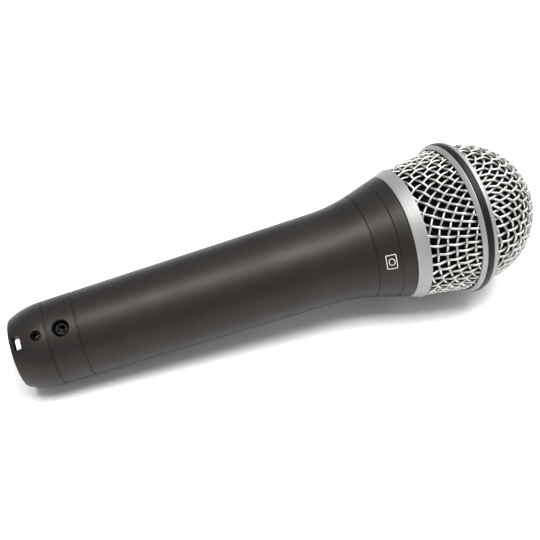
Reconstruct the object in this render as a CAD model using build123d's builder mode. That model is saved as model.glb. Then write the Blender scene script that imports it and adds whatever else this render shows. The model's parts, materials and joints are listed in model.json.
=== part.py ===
from build123d import *
from math import acos, atan, atan2, cos, degrees, hypot, radians, sin, tan
import os

os.makedirs("parts", exist_ok=True)

# Handheld dynamic vocal microphone lying on a flat surface, in millimetres.
# +Z is up and the floor is z = 0. The microphone's axis lies in the XZ plane and runs from
# the tail, at -X, up to the grille, at +X. The origin is under the middle of the whole box.
# Stations are measured along the axis from the tail's end face, and radii from the axis.

# ---- driving dimensions: handle --------------------------------------------------------
rim_radius = 11.0
rim_edge = 0.8
taper_length = 10.0
barrel_radius = 13.12
barrel_slope = 0.023
seam_station = 124.25
seam_radius = 20.72
neck_slope = 0.311
flare_tangent = 8.0
handle_wall = 2.4
cavity_lag = 3.0
groove_width = 0.36
groove_depth = 0.28
groove_chamfer = 0.14
tail_groove_stations = (11.25, 20.35)
neck_groove_setbacks = (11.2, 4.1)

# ---- driving dimensions: cable socket in the tail --------------------------------------
socket_radius = 8.15
socket_depth = 12.8
insert_length = 6.5
close_fit = 0.05
shoulder_radius = 7.0
shoulder_length = 2.7
latch_angle = 26.0
slot_station = 2.45
slot_width = 2.2
slot_height = 4.2
slot_corner = 0.4
hole_chamfer = 0.15
release_hole_station = 8.4
release_hole_radius = 1.5
pin_radius = 1.2
pin_circle_radius = 4.05
pin_tip_station = 3.0
pin_tip_edge = 0.7
pin_spread = 108.0
pin_shoulder_radius = 1.5
cup_length = 4.2
cup_bore_radius = 0.8
cup_bore_depth = 2.6
screw_station = 15.75
screw_recess_radius = 2.5
screw_seat_wall = 2.15
screw_head_radius = 2.25
screw_head_height = 1.5
screw_head_edge = 0.6
screw_shank_radius = 1.45
screw_clearance = 0.15
screw_depth = 3.2
screw_tip_gap = 0.2
cross_length = 2.6
cross_width = 0.6
cross_depth = 0.8
cross_turn = 25.0
spring_thickness = 0.35
spring_width = 3.4
spring_foot_width = 2.04
spring_start = 2.0
spring_gap = 0.5
spring_back = 2.2

# ---- driving dimensions: neck spigot and grille ----------------------------------------
spigot_radius = 18.4
spigot_length = 5.55
thread_pitch = 1.0
thread_depth = 0.4
thread_half_width = 0.35
thread_runout = 0.5
thread_overcut = 0.1
thread_clearance = 0.3
seal_thickness = 0.4
seal_inset = 0.35
spigot_wall = 1.8
seat_depth = 9.3
seat_shoulder = 1.0
collar_length = 4.1
collar_step = 0.13
collar_rise = 1.46
collar_sleeve_wall = 0.85
collar_sleeve_length = 5.3
mesh_thickness = 1.25
basket_root_inset = 1.85
collar_lip = 0.46
basket_root_step = 0.95
basket_overhang = 0.48
basket_length = 15.85
mesh_end_gap = 0.1
band_ramp = 1.3
band_thickness = 1.78
band_front_thickness = 1.75
band_lip = 0.4
band_edge = 0.2
front_edge = 0.35
front_edge_drop = 0.5
bumper_width = 2.25
bumper_thickness = 2.03
bumper_edge = 0.5
bumper_depth = 0.8
front_ring_width = 1.5
dome_setback = 0.65
dome_radius = 23.97
foam_gap = 0.3
foam_thickness = 2.5
foam_setback = 6.75

# ---- driving dimensions: capsule -------------------------------------------------------
float_travel = 1.0
coil_travel = 0.3
mount_gap = 3.9
mount_sleeve = 1.4
mount_web_setback = 3.4
mount_web_thickness = 1.3
mount_lip_length = 1.2
mount_lip_gap = 0.3
mount_hub_inset = 1.0
chamber_wall = 1.2
chamber_length = 25.0
plate_gap = 1.0
plate_thickness = 1.2
plate_overhang = 2.8
yoke_wall = 1.4
yoke_base = 2.0
yoke_depth = 6.0
magnet_gap = 2.15
magnet_length = 7.5
pole_gap = 1.55
pole_length = 2.5
coil_clearance = 0.45
coil_thickness = 0.6
coil_length = 5.0
coil_setback = 3.1
frame_depth = 7.8
frame_wall = 1.2
frame_foot = 1.8
diaphragm_thickness = 0.2
diaphragm_crown = 2.6
surround_crown = 1.1
diaphragm_clearance = 0.4
diaphragm_rim = 0.8
cap_depth = 5.4
cap_plate = 1.2
cap_edge = 0.8
cap_rim = 2.0
cap_hole_radius = 1.1
cap_ring_steps = (0, 1, 2)
cap_ring_margin = 4.3
cap_ring_holes = (1, 6, 12)
screen_thickness = 0.4
terminal_setback = 4.7
terminal_thickness = 1.2
lug_spacing = 6.0
lug_length = 3.4
lug_width = 1.8
lug_thickness = 0.5
lead_radius = 0.6
lead_insertion = 0.4
lead_wander = ((0.14, 1.0, 0.0), (0.36, 1.35, 25.0), (0.62, 1.25, -15.0), (0.86, 0.9, 5.0))
lead_twist_start = 0.2
lead_twist_rate = 1.4
lead_bend_share = 0.45

# ---- lengths that follow ---------------------------------------------------------------
insert_end = socket_depth + insert_length
shoulder_end = insert_end + shoulder_length
spigot_end = seam_station + spigot_length
collar_station = seam_station + seal_thickness
collar_end = collar_station + collar_length
collar_rear_radius = seam_radius + collar_step
collar_front_radius = collar_rear_radius + collar_rise
band_station = collar_end + basket_length
bumper_station = band_station + band_ramp
front_ring_station = bumper_station + bumper_width
band_end = front_ring_station + front_ring_width
band_split = bumper_station + bumper_width / 2
dome_station = band_end + dome_setback
thread_bore = spigot_radius + thread_clearance
sleeve_radius = thread_bore + collar_sleeve_wall
basket_root = collar_end - basket_root_inset
basket_rear_radius = collar_front_radius - collar_lip
basket_root_radius = basket_rear_radius - basket_root_step
basket_front_radius = dome_radius + basket_overhang
basket_end = band_split - mesh_end_gap
band_radius = dome_radius + band_thickness
band_front_radius = dome_radius + band_front_thickness
bumper_radius = dome_radius + bumper_thickness
bumper_seat = bumper_radius - bumper_depth
basket_slope = (basket_front_radius - basket_rear_radius) / (band_station - collar_end)
seat_radius = spigot_radius - spigot_wall
chamber_radius = seat_radius - mount_gap
capsule_radius = chamber_radius + plate_overhang
mount_lip_end = spigot_end + mount_lip_length
plate_station = mount_lip_end + float_travel + plate_gap
chamber_station = plate_station - chamber_length
frame_station = plate_station + plate_thickness
cap_station = frame_station + frame_depth
cap_end = cap_station + cap_depth
yoke_station = plate_station - yoke_depth
yoke_radius = chamber_radius - chamber_wall - close_fit
gap_radius = yoke_radius - yoke_wall
magnet_radius = gap_radius - magnet_gap
pole_radius = gap_radius - pole_gap
coil_inner_radius = pole_radius + coil_clearance
coil_radius = coil_inner_radius + coil_thickness
coil_station = plate_station + coil_setback + coil_travel
coil_end = coil_station + coil_length
terminal_radius = chamber_radius - terminal_setback
foam_start = seam_station + foam_setback
screw_seat_radius = socket_radius + screw_seat_wall


def barrel_at(station):
    """Outer radius of the straight barrel."""
    return barrel_radius + barrel_slope * station


def neck_at(station):
    """Outer radius of the straight part of the flared neck."""
    return seam_radius - neck_slope * (seam_station - station)


def basket_at(station):
    """Outer radius of the lower mesh between the collar and the band."""
    return basket_front_radius - basket_slope * (band_station - station)


# ---- outline of the tail: a corner arc, then a long arc that meets the barrel ----------
shoulder = (taper_length, barrel_at(taper_length))
draft = atan(barrel_slope)
corner_centre = (rim_edge, rim_radius - rim_edge)
reach = (shoulder[0] - corner_centre[0], shoulder[1] - corner_centre[1])
lean = reach[0] * sin(draft) - reach[1] * cos(draft)
taper_arc = (rim_edge**2 - hypot(*reach) ** 2) / (2 * (lean + rim_edge))
taper_centre = (shoulder[0] + taper_arc * sin(draft), shoulder[1] - taper_arc * cos(draft))
spread = (corner_centre[0] - taper_centre[0], corner_centre[1] - taper_centre[1])
corner_end = (
    corner_centre[0] + rim_edge * spread[0] / hypot(*spread),
    corner_centre[1] + rim_edge * spread[1] / hypot(*spread),
)

# ---- outline of the neck: an arc tangent to the barrel and to the flare -----------------
flare_corner = (seam_radius - neck_slope * seam_station - barrel_radius) / (barrel_slope - neck_slope)
flare_start = flare_corner - flare_tangent * cos(draft)
flare_end = flare_corner + flare_tangent * cos(atan(neck_slope))

# ---- how it lies: the tail's taper and the rubber bumper both touch the floor -----------
bumper_corner = (bumper_station + bumper_edge, bumper_radius - bumper_edge)
run = bumper_corner[0] - taper_centre[0]
rise = bumper_corner[1] - taper_centre[1]
tilt = acos((taper_arc - bumper_edge) / hypot(run, rise)) - atan2(run, rise)
axis_height = taper_arc - taper_centre[0] * sin(tilt) + taper_centre[1] * cos(tilt)
tail_reach = rim_edge * cos(tilt) - corner_centre[1] * sin(tilt) - rim_edge
head_reach = dome_station * cos(tilt) + dome_radius
tail_point = Vector(-(tail_reach + head_reach) / 2, 0, axis_height)
axis_dir = Vector(cos(tilt), 0, sin(tilt))
up_dir = Vector(-sin(tilt), 0, cos(tilt))

section = Plane(origin=tail_point, x_dir=axis_dir, z_dir=(0, -1, 0))
mic_axis = Axis(tail_point, axis_dir)


def station_plane(station):
    """Plane across the axis; its x is up and its y is the near side, -Y."""
    return Plane(origin=tail_point + axis_dir * station, x_dir=up_dir, z_dir=axis_dir)


def side_plane(station, angle, radius=0.0):
    """Plane that faces outwards at an angle from the top towards the near side."""
    outwards = up_dir * cos(radians(angle)) + Vector(0, -1, 0) * sin(radians(angle))
    origin = tail_point + axis_dir * station + outwards * radius
    return Plane(origin=origin, x_dir=axis_dir, z_dir=outwards)


def space_point(station, radius, angle):
    """Point at a station, a radius and an angle from the top towards the near side."""
    return side_plane(station, angle, radius).origin


# ---- handle: die-cast barrel with a flared neck and a threaded spigot -------------------
groove_stations = tail_groove_stations + tuple(seam_station - setback for setback in neck_groove_setbacks)
cavity_start = shoulder_end + barrel_at(shoulder_end) - handle_wall - shoulder_radius
cavity_bend = flare_corner + cavity_lag
seat_start = spigot_end - seat_depth
with BuildPart() as handle:
    with BuildSketch(section):
        with BuildLine():
            Line((0, socket_radius), (0, corner_centre[1]))
            TangentArc((0, corner_centre[1]), corner_end, tangent=(0, 1))
            TangentArc(shoulder, corner_end, tangent=(-cos(draft), -sin(draft)))
            Line(shoulder, (flare_start, barrel_at(flare_start)))
            TangentArc(
                (flare_start, barrel_at(flare_start)),
                (flare_end, neck_at(flare_end)),
                tangent=(cos(draft), sin(draft)),
            )
            Polyline(
                (flare_end, neck_at(flare_end)),
                (seam_station, seam_radius),
                (seam_station, spigot_radius),
                (spigot_end, spigot_radius),
                (spigot_end, seat_radius),
                (seat_start, seat_radius),
                (seat_start, neck_at(seat_start) - handle_wall - seat_shoulder),
                (cavity_bend, barrel_at(cavity_bend) - handle_wall),
                (cavity_start, barrel_at(cavity_start) - handle_wall),
                (shoulder_end, shoulder_radius),
                (insert_end, shoulder_radius),
                (insert_end, socket_radius),
                (0, socket_radius),
            )
        make_face()
    revolve(axis=mic_axis)
    for groove_station in groove_stations:
        groove_radius = max(neck_at(groove_station), barrel_at(groove_station))
        groove_top = groove_radius + groove_chamfer
        half_mouth = groove_width / 2 + 2 * groove_chamfer
        with BuildSketch(section):
            with BuildLine():
                Polyline(
                    (groove_station - half_mouth, groove_top),
                    (groove_station - groove_width / 2, groove_radius - groove_chamfer),
                    (groove_station - groove_width / 2, groove_radius - groove_depth),
                    (groove_station + groove_width / 2, groove_radius - groove_depth),
                    (groove_station + groove_width / 2, groove_radius - groove_chamfer),
                    (groove_station + half_mouth, groove_top),
                    close=True,
                )
            make_face()
        revolve(axis=mic_axis, mode=Mode.SUBTRACT)
    thread_turns = int((spigot_length - 2 * thread_runout) / thread_pitch)
    for turn in range(thread_turns):
        root = spigot_end - thread_runout - turn * thread_pitch
        with BuildSketch(section):
            with BuildLine():
                Polyline(
                    (root - thread_half_width, spigot_radius + thread_overcut),
                    (root, spigot_radius - thread_depth),
                    (root + thread_half_width, spigot_radius + thread_overcut),
                    close=True,
                )
            make_face()
        revolve(axis=mic_axis, mode=Mode.SUBTRACT)
    latch_out = Axis(tail_point, side_plane(0, latch_angle).z_dir)
    with BuildSketch(side_plane(slot_station, latch_angle)):
        RectangleRounded(slot_width, slot_height, slot_corner)
    extrude(amount=2 * rim_radius, mode=Mode.SUBTRACT)
    with BuildSketch(side_plane(release_hole_station, latch_angle)):
        Circle(release_hole_radius)
    extrude(amount=2 * barrel_radius, mode=Mode.SUBTRACT)
    chamfer(handle.edges(Select.LAST).sort_by(latch_out)[-1], hole_chamfer)
    with BuildSketch(side_plane(screw_station, latch_angle, screw_seat_radius)):
        Circle(screw_recess_radius)
    extrude(amount=barrel_radius, mode=Mode.SUBTRACT)
    chamfer(handle.edges(Select.LAST).sort_by(latch_out)[-1], hole_chamfer)
    with BuildSketch(side_plane(screw_station, latch_angle)):
        Circle(screw_shank_radius + screw_clearance)
    extrude(amount=barrel_radius, mode=Mode.SUBTRACT)
handle.part.label = "handle"
export_step(handle.part, "parts/handle.step")

# ---- socket insert: moulded disc that carries the three contacts ------------------------
pin_angles = (latch_angle + 180 - pin_spread, latch_angle + 180 + pin_spread, latch_angle + 180)
with BuildPart() as socket_insert:
    with BuildSketch(station_plane(socket_depth)):
        Circle(socket_radius - close_fit)
        for pin_angle in pin_angles:
            with Locations(Location((0, 0, 0), (0, 0, pin_angle))):
                with Locations((pin_circle_radius, 0)):
                    Circle(pin_shoulder_radius, mode=Mode.SUBTRACT)
    extrude(amount=insert_length)
    with BuildSketch(side_plane(screw_station, latch_angle, socket_radius - screw_depth)):
        Circle(screw_shank_radius)
    extrude(amount=2 * screw_depth, mode=Mode.SUBTRACT)
socket_insert.part.label = "socket_insert"
export_step(socket_insert.part, "parts/socket_insert.step")

# ---- contact pins: rounded tips in the socket, solder cups behind the insert ------------
for pin_number, pin_angle in enumerate(pin_angles, start=1):
    pin_radial = up_dir * cos(radians(pin_angle)) + Vector(0, -1, 0) * sin(radians(pin_angle))
    pin_section = Plane(
        origin=tail_point + pin_radial * pin_circle_radius, x_dir=axis_dir, z_dir=(0, -1, 0)
    )
    with BuildPart() as contact_pin:
        with BuildSketch(pin_section):
            with BuildLine():
                Line((pin_tip_station, 0), (pin_tip_station, pin_radius - pin_tip_edge))
                TangentArc(
                    (pin_tip_station, pin_radius - pin_tip_edge),
                    (pin_tip_station + pin_tip_edge, pin_radius),
                    tangent=(0, 1),
                )
                Polyline(
                    (pin_tip_station + pin_tip_edge, pin_radius),
                    (socket_depth, pin_radius),
                    (socket_depth, pin_shoulder_radius),
                    (insert_end + cup_length, pin_shoulder_radius),
                    (insert_end + cup_length, cup_bore_radius),
                    (insert_end + cup_length - cup_bore_depth, cup_bore_radius),
                    (insert_end + cup_length - cup_bore_depth, 0),
                    (pin_tip_station, 0),
                )
            make_face()
        revolve(axis=Axis(pin_section.origin, axis_dir))
    contact_pin.part.label = f"contact_pin_{pin_number}"
    export_step(contact_pin.part, f"parts/contact_pin_{pin_number}.step")

# ---- ground spring: bent strip from the first contact to the handle's bore --------------
spring_angle = pin_angles[0]
with BuildPart() as ground_spring:
    with BuildSketch(side_plane(insert_end + spring_thickness / 2, spring_angle, spring_start)):
        Rectangle(spring_thickness, spring_width)
    extrude(amount=shoulder_radius - spring_start - spring_gap)
    spring_foot_radius = shoulder_radius - spring_gap - spring_thickness
    with BuildSketch(side_plane(insert_end + spring_back / 2, spring_angle, spring_foot_radius)):
        Rectangle(spring_back, spring_foot_width)
    extrude(amount=spring_thickness)
    with BuildSketch(station_plane(insert_end)):
        with Locations(Location((0, 0, 0), (0, 0, spring_angle))):
            with Locations((pin_circle_radius, 0)):
                Circle(pin_shoulder_radius)
    extrude(amount=spring_back, mode=Mode.SUBTRACT)
ground_spring.part.label = "ground_spring"
export_step(ground_spring.part, "parts/ground_spring.step")

# ---- insert screw: cross-recess machine screw sunk in the tail's side hole --------------
with BuildPart() as insert_screw:
    with BuildSketch(side_plane(screw_station, latch_angle, screw_seat_radius)):
        Circle(screw_head_radius)
    extrude(amount=screw_head_height)
    head_top = insert_screw.faces().sort_by(Axis((0, 0, 0), side_plane(0, latch_angle).z_dir))[-1]
    fillet(head_top.edges(), screw_head_edge)
    screw_tip_radius = socket_radius - screw_depth + screw_tip_gap
    with BuildSketch(side_plane(screw_station, latch_angle, screw_tip_radius)):
        Circle(screw_shank_radius)
    extrude(amount=screw_seat_radius - screw_tip_radius)
    cross_radius = screw_seat_radius + screw_head_height - cross_depth
    with BuildSketch(side_plane(screw_station, latch_angle, cross_radius)):
        Rectangle(cross_length, cross_width, rotation=cross_turn)
        Rectangle(cross_width, cross_length, rotation=cross_turn)
    extrude(amount=2 * cross_depth, mode=Mode.SUBTRACT)
insert_screw.part.label = "insert_screw"
export_step(insert_screw.part, "parts/insert_screw.step")

# ---- shock mount: rubber ring that holds the capsule's chamber in the neck --------------
mount_lip_radius = spigot_radius - thread_depth - mount_lip_gap
mount_inner_radius = seat_radius - mount_sleeve
mount_bore = chamber_radius + close_fit
mount_hub_radius = mount_bore + mount_sleeve
mount_hub_end = spigot_end - mount_hub_inset
web_station = seat_start + mount_web_setback
web_end = web_station + mount_web_thickness
with BuildPart() as shock_mount:
    with BuildSketch(section):
        with BuildLine():
            Polyline(
                (seat_start, seat_radius),
                (seat_start, mount_inner_radius),
                (web_station, mount_inner_radius),
                (web_station, mount_hub_radius),
                (seat_start, mount_hub_radius),
                (seat_start, mount_bore),
                (mount_hub_end, mount_bore),
                (mount_hub_end, mount_hub_radius),
                (web_end, mount_hub_radius),
                (web_end, mount_inner_radius),
                (mount_lip_end, mount_inner_radius),
                (mount_lip_end, mount_lip_radius),
                (spigot_end, mount_lip_radius),
                (spigot_end, seat_radius),
                close=True,
            )
        make_face()
    revolve(axis=mic_axis)
shock_mount.part.label = "shock_mount"
export_step(shock_mount.part, "parts/shock_mount.step")

# ---- rear chamber: plastic cup behind the capsule, closed at its rear -------------------
with BuildPart() as rear_chamber:
    with BuildSketch(section):
        with BuildLine():
            Polyline(
                (chamber_station, 0),
                (chamber_station, chamber_radius),
                (plate_station, chamber_radius),
                (plate_station, capsule_radius),
                (plate_station + plate_thickness, capsule_radius),
                (plate_station + plate_thickness, chamber_radius - chamber_wall),
                (chamber_station + chamber_wall, chamber_radius - chamber_wall),
                (chamber_station + chamber_wall, 0),
                close=True,
            )
        make_face()
    revolve(axis=mic_axis)
rear_chamber.part.label = "rear_chamber"
export_step(rear_chamber.part, "parts/rear_chamber.step")

# ---- terminal board and its two solder lugs on the back of the chamber ------------------
with BuildPart() as terminal_board:
    with BuildSketch(station_plane(chamber_station - terminal_thickness)):
        Circle(terminal_radius)
    extrude(amount=terminal_thickness)
terminal_board.part.label = "terminal_board"
export_step(terminal_board.part, "parts/terminal_board.step")

lug_base = chamber_station - terminal_thickness
with BuildPart() as terminal_lugs:
    with BuildSketch(station_plane(lug_base - lug_length)):
        with GridLocations(lug_spacing, lug_spacing, 1, 2):
            Rectangle(lug_thickness, lug_width)
    extrude(amount=lug_length)
terminal_lugs.part.label = "terminal_lugs"
export_step(terminal_lugs.part, "parts/terminal_lugs.step")

# ---- magnet system: steel cup, magnet and pole plate ------------------------------------
magnet_station = yoke_station + yoke_base
pole_station = magnet_station + magnet_length
pole_end = pole_station + pole_length
with BuildPart() as yoke_cup:
    with BuildSketch(section):
        with BuildLine():
            Polyline(
                (yoke_station, 0),
                (yoke_station, yoke_radius),
                (pole_end, yoke_radius),
                (pole_end, gap_radius),
                (magnet_station, gap_radius),
                (magnet_station, 0),
                close=True,
            )
        make_face()
    revolve(axis=mic_axis)
yoke_cup.part.label = "yoke_cup"
export_step(yoke_cup.part, "parts/yoke_cup.step")

with BuildPart() as magnet:
    with BuildSketch(station_plane(magnet_station)):
        Circle(magnet_radius)
    extrude(amount=magnet_length)
magnet.part.label = "magnet"
export_step(magnet.part, "parts/magnet.step")

with BuildPart() as pole_plate:
    with BuildSketch(station_plane(pole_station)):
        Circle(pole_radius)
    extrude(amount=pole_length)
pole_plate.part.label = "pole_plate"
export_step(pole_plate.part, "parts/pole_plate.step")

# ---- capsule frame: ring that centres the magnet cup and carries the cap ----------------
with BuildPart() as capsule_frame:
    with BuildSketch(section):
        with BuildLine():
            Polyline(
                (frame_station, yoke_radius + close_fit),
                (frame_station, capsule_radius),
                (cap_station, capsule_radius),
                (cap_station, capsule_radius - frame_wall),
                (frame_station + frame_foot, capsule_radius - frame_wall),
                (frame_station + frame_foot, yoke_radius + close_fit),
                close=True,
            )
        make_face()
    revolve(axis=mic_axis)
capsule_frame.part.label = "capsule_frame"
export_step(capsule_frame.part, "parts/capsule_frame.step")

# ---- voice coil and diaphragm -----------------------------------------------------------
with BuildPart() as voice_coil:
    with BuildSketch(station_plane(coil_station)):
        Circle(coil_radius)
        Circle(coil_inner_radius, mode=Mode.SUBTRACT)
    extrude(amount=coil_length)
voice_coil.part.label = "voice_coil"
export_step(voice_coil.part, "parts/voice_coil.step")

diaphragm_edge = capsule_radius - frame_wall - diaphragm_clearance
surround_edge = diaphragm_edge - diaphragm_rim
surround_middle = (coil_radius + surround_edge) / 2
skin = diaphragm_thickness
with BuildPart() as diaphragm:
    with BuildSketch(section):
        with BuildLine():
            Line((coil_end + diaphragm_crown, 0), (coil_end + diaphragm_crown + skin, 0))
            TangentArc(
                (coil_end + diaphragm_crown + skin, 0), (coil_end + skin, coil_radius), tangent=(0, 1)
            )
            ThreePointArc(
                (coil_end + skin, coil_radius),
                (coil_end + surround_crown + skin, surround_middle),
                (coil_end + skin, surround_edge),
            )
            Polyline(
                (coil_end + skin, surround_edge),
                (coil_end + skin, diaphragm_edge),
                (coil_end, diaphragm_edge),
                (coil_end, surround_edge - skin),
            )
            ThreePointArc(
                (coil_end, surround_edge - skin),
                (coil_end + surround_crown, surround_middle),
                (coil_end, coil_radius + skin),
            )
            Line((coil_end, coil_radius + skin), (coil_end, coil_inner_radius))
            TangentArc(
                (coil_end + diaphragm_crown, 0), (coil_end, coil_inner_radius), tangent=(0, 1)
            )
        make_face()
    revolve(axis=mic_axis)
diaphragm.part.label = "diaphragm"
export_step(diaphragm.part, "parts/diaphragm.step")

# ---- resonator cap: perforated front of the capsule, with a felt screen in its face -----
cap_floor_radius = capsule_radius - cap_rim
cap_floor = cap_end - screen_thickness
cap_ring_pitch = (cap_floor_radius - cap_ring_margin) / cap_ring_steps[-1]
with BuildPart() as resonator_cap:
    with BuildSketch(section):
        with BuildLine():
            Polyline(
                (cap_station, capsule_radius - frame_wall),
                (cap_station, capsule_radius),
                (cap_end - cap_edge, capsule_radius),
                (cap_end, capsule_radius - cap_edge),
                (cap_end, cap_floor_radius),
                (cap_floor, cap_floor_radius),
                (cap_floor, 0),
                (cap_floor - cap_plate, 0),
                (cap_floor - cap_plate, capsule_radius - frame_wall),
                close=True,
            )
        make_face()
    revolve(axis=mic_axis)
    for ring_step, ring_holes in zip(cap_ring_steps, cap_ring_holes):
        with BuildSketch(station_plane(cap_station)):
            with PolarLocations(ring_step * cap_ring_pitch, ring_holes):
                Circle(cap_hole_radius)
        extrude(amount=cap_depth, mode=Mode.SUBTRACT)
resonator_cap.part.label = "resonator_cap"
export_step(resonator_cap.part, "parts/resonator_cap.step")

with BuildPart() as cap_screen:
    with BuildSketch(station_plane(cap_end - screen_thickness)):
        Circle(cap_floor_radius - close_fit)
    extrude(amount=screen_thickness)
cap_screen.part.label = "cap_screen"
export_step(cap_screen.part, "parts/cap_screen.step")

# ---- leads: two insulated wires from the solder cups to the terminal lugs ---------------
lead_start = insert_end + cup_length - cup_bore_depth + lead_insertion
lead_finish = lug_base - lug_length
lead_run = lead_finish - lead_start
for lead_name, pin_index, lug_side in (("lead_hot", 1, 1), ("lead_cold", 2, -1)):
    pin_angle = pin_angles[pin_index]
    lug_angle = 90.0 * lug_side
    turn_by = (lug_angle - pin_angle + 180.0) % 360.0 - 180.0
    route = [space_point(lead_start, pin_circle_radius, pin_angle)]
    for share, swell, swing in lead_wander:
        blend = min(1.0, max(0.0, share * lead_twist_rate - lead_twist_start))
        angle = pin_angle + turn_by * blend + swing
        route.append(space_point(lead_start + lead_run * share, pin_circle_radius * swell, angle))
    route.append(space_point(lead_finish, lug_spacing / 2, lug_angle))
    runs = [(b - a).length for a, b in zip(route, route[1:])]
    turns = [(b - a).get_angle(c - b) for a, b, c in zip(route, route[1:], route[2:])]
    bends = [
        lead_bend_share * min(one, two) / tan(radians(turn / 2))
        for one, two, turn in zip(runs, runs[1:], turns)
    ]
    with BuildPart() as lead:
        with BuildLine() as lead_path:
            FilletPolyline(*route, radius=bends)
        with BuildSketch(Plane(origin=route[0], z_dir=route[1] - route[0])):
            Circle(lead_radius)
        sweep(path=lead_path.wires()[0])
    lead.part.label = lead_name
    export_step(lead.part, f"parts/{lead_name}.step")

# ---- seal ring: rubber washer between the handle and the collar -------------------------
with BuildPart() as seal_ring:
    with BuildSketch(station_plane(seam_station)):
        Circle(seam_radius - seal_inset)
        Circle(spigot_radius + close_fit, mode=Mode.SUBTRACT)
    extrude(amount=seal_thickness)
seal_ring.part.label = "seal_ring"
export_step(seal_ring.part, "parts/seal_ring.step")

# ---- collar ring: threaded foot of the grille, with a channel that grips the mesh -------
with BuildPart() as collar_ring:
    with BuildSketch(section):
        with BuildLine():
            Polyline(
                (collar_station, thread_bore),
                (collar_station, collar_rear_radius),
                (collar_end, collar_front_radius),
                (collar_end, basket_rear_radius + close_fit),
                (basket_root - close_fit, basket_root_radius + close_fit),
                (basket_root - close_fit, sleeve_radius),
                (collar_station + collar_sleeve_length, sleeve_radius),
                (collar_station + collar_sleeve_length, thread_bore),
                close=True,
            )
        make_face()
    revolve(axis=mic_axis)
collar_ring.part.label = "collar_ring"
export_step(collar_ring.part, "parts/collar_ring.step")

# ---- lower basket: the mesh between the collar and the band, as a plain shell -----------
with BuildPart() as lower_basket:
    with BuildSketch(section):
        with BuildLine():
            Polyline(
                (basket_root, basket_root_radius),
                (collar_end, basket_rear_radius),
                (basket_end, basket_at(basket_end)),
                (basket_end, basket_at(basket_end) - mesh_thickness),
                (collar_end, basket_rear_radius - mesh_thickness),
                (basket_root, basket_root_radius - mesh_thickness),
                close=True,
            )
        make_face()
    revolve(axis=mic_axis)
lower_basket.part.label = "lower_basket"
export_step(lower_basket.part, "parts/lower_basket.step")

# ---- band: two metal rings that clamp the meshes, with a rubber bumper between ----------
with BuildPart() as back_band_ring:
    with BuildSketch(section):
        with BuildLine():
            Polyline(
                (band_station, basket_at(band_station) + close_fit),
                (band_station, basket_at(band_station) + close_fit + band_lip),
                (bumper_station - band_edge, band_radius),
                (bumper_station, band_radius),
                (bumper_station, bumper_seat),
                (band_split, bumper_seat),
                (band_split, basket_at(band_split) + close_fit),
                close=True,
            )
        make_face()
    revolve(axis=mic_axis)
back_band_ring.part.label = "back_band_ring"
export_step(back_band_ring.part, "parts/back_band_ring.step")

with BuildPart() as bumper_ring:
    with BuildSketch(section) as bumper_outline:
        with Locations((bumper_station + bumper_width / 2, bumper_radius - bumper_depth / 2)):
            Rectangle(bumper_width, bumper_depth)
        fillet(bumper_outline.vertices().group_by(Axis.Y)[-1], bumper_edge)
    revolve(axis=mic_axis)
bumper_ring.part.label = "bumper_ring"
export_step(bumper_ring.part, "parts/bumper_ring.step")

with BuildPart() as front_band_ring:
    with BuildSketch(section):
        with BuildLine():
            Polyline(
                (band_split, dome_radius + close_fit),
                (band_split, bumper_seat),
                (front_ring_station, bumper_seat),
                (front_ring_station, band_front_radius),
                (band_end - front_edge, band_front_radius),
                (band_end, band_front_radius - front_edge_drop),
                (band_end, dome_radius + close_fit),
                close=True,
            )
        make_face()
    revolve(axis=mic_axis)
front_band_ring.part.label = "front_band_ring"
export_step(front_band_ring.part, "parts/front_band_ring.step")

# ---- dome mesh: the round front of the grille, as a plain shell with a short skirt ------
dome_inner = dome_radius - mesh_thickness
with BuildPart() as dome_mesh:
    with BuildSketch(section):
        with BuildLine():
            Polyline(
                (dome_station, dome_inner),
                (band_split + mesh_end_gap, dome_inner),
                (band_split + mesh_end_gap, dome_radius),
                (dome_station, dome_radius),
            )
            CenterArc((dome_station, 0), dome_radius, 0, 90)
            Line((dome_station + dome_inner, 0), (dome_station + dome_radius, 0))
            CenterArc((dome_station, 0), dome_inner, 0, 90)
        make_face()
    revolve(axis=mic_axis)
dome_mesh.part.label = "dome_mesh"
export_step(dome_mesh.part, "parts/dome_mesh.step")

# ---- foam liner: open-cell foam inside the mesh, free to stay still as the grille turns -
foam_radius = dome_inner - foam_gap
foam_rear_radius = basket_at(foam_start) - mesh_thickness - foam_gap
with BuildPart() as foam_liner:
    with BuildSketch(section):
        with BuildLine():
            Polyline(
                (dome_station, foam_radius - foam_thickness),
                (foam_start, foam_rear_radius - foam_thickness),
                (foam_start, foam_rear_radius),
                (dome_station, foam_radius),
            )
            CenterArc((dome_station, 0), foam_radius, 0, 90)
            Line((dome_station + foam_radius - foam_thickness, 0), (dome_station + foam_radius, 0))
            CenterArc((dome_station, 0), foam_radius - foam_thickness, 0, 90)
        make_face()
    revolve(axis=mic_axis)
foam_liner.part.label = "foam_liner"
export_step(foam_liner.part, "parts/foam_liner.step")

print("tilt in degrees", round(degrees(tilt), 3))
print("tail point", tail_point)
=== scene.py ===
"""Handheld dynamic vocal microphone lying on a pale surface.

Lengths in the code are in millimetres and become metres where a mesh is placed. New pieces are
shaped in microphone space, where x runs along the axis from the tail's end face to the grille,
y is the far side and z is the top, and are then set down at the angle at which it lies.
"""

import json
from bisect import bisect_left
from math import atan2, cos, hypot, pi, radians, sin

import bpy
from mathutils import Matrix, Vector, noise


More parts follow.
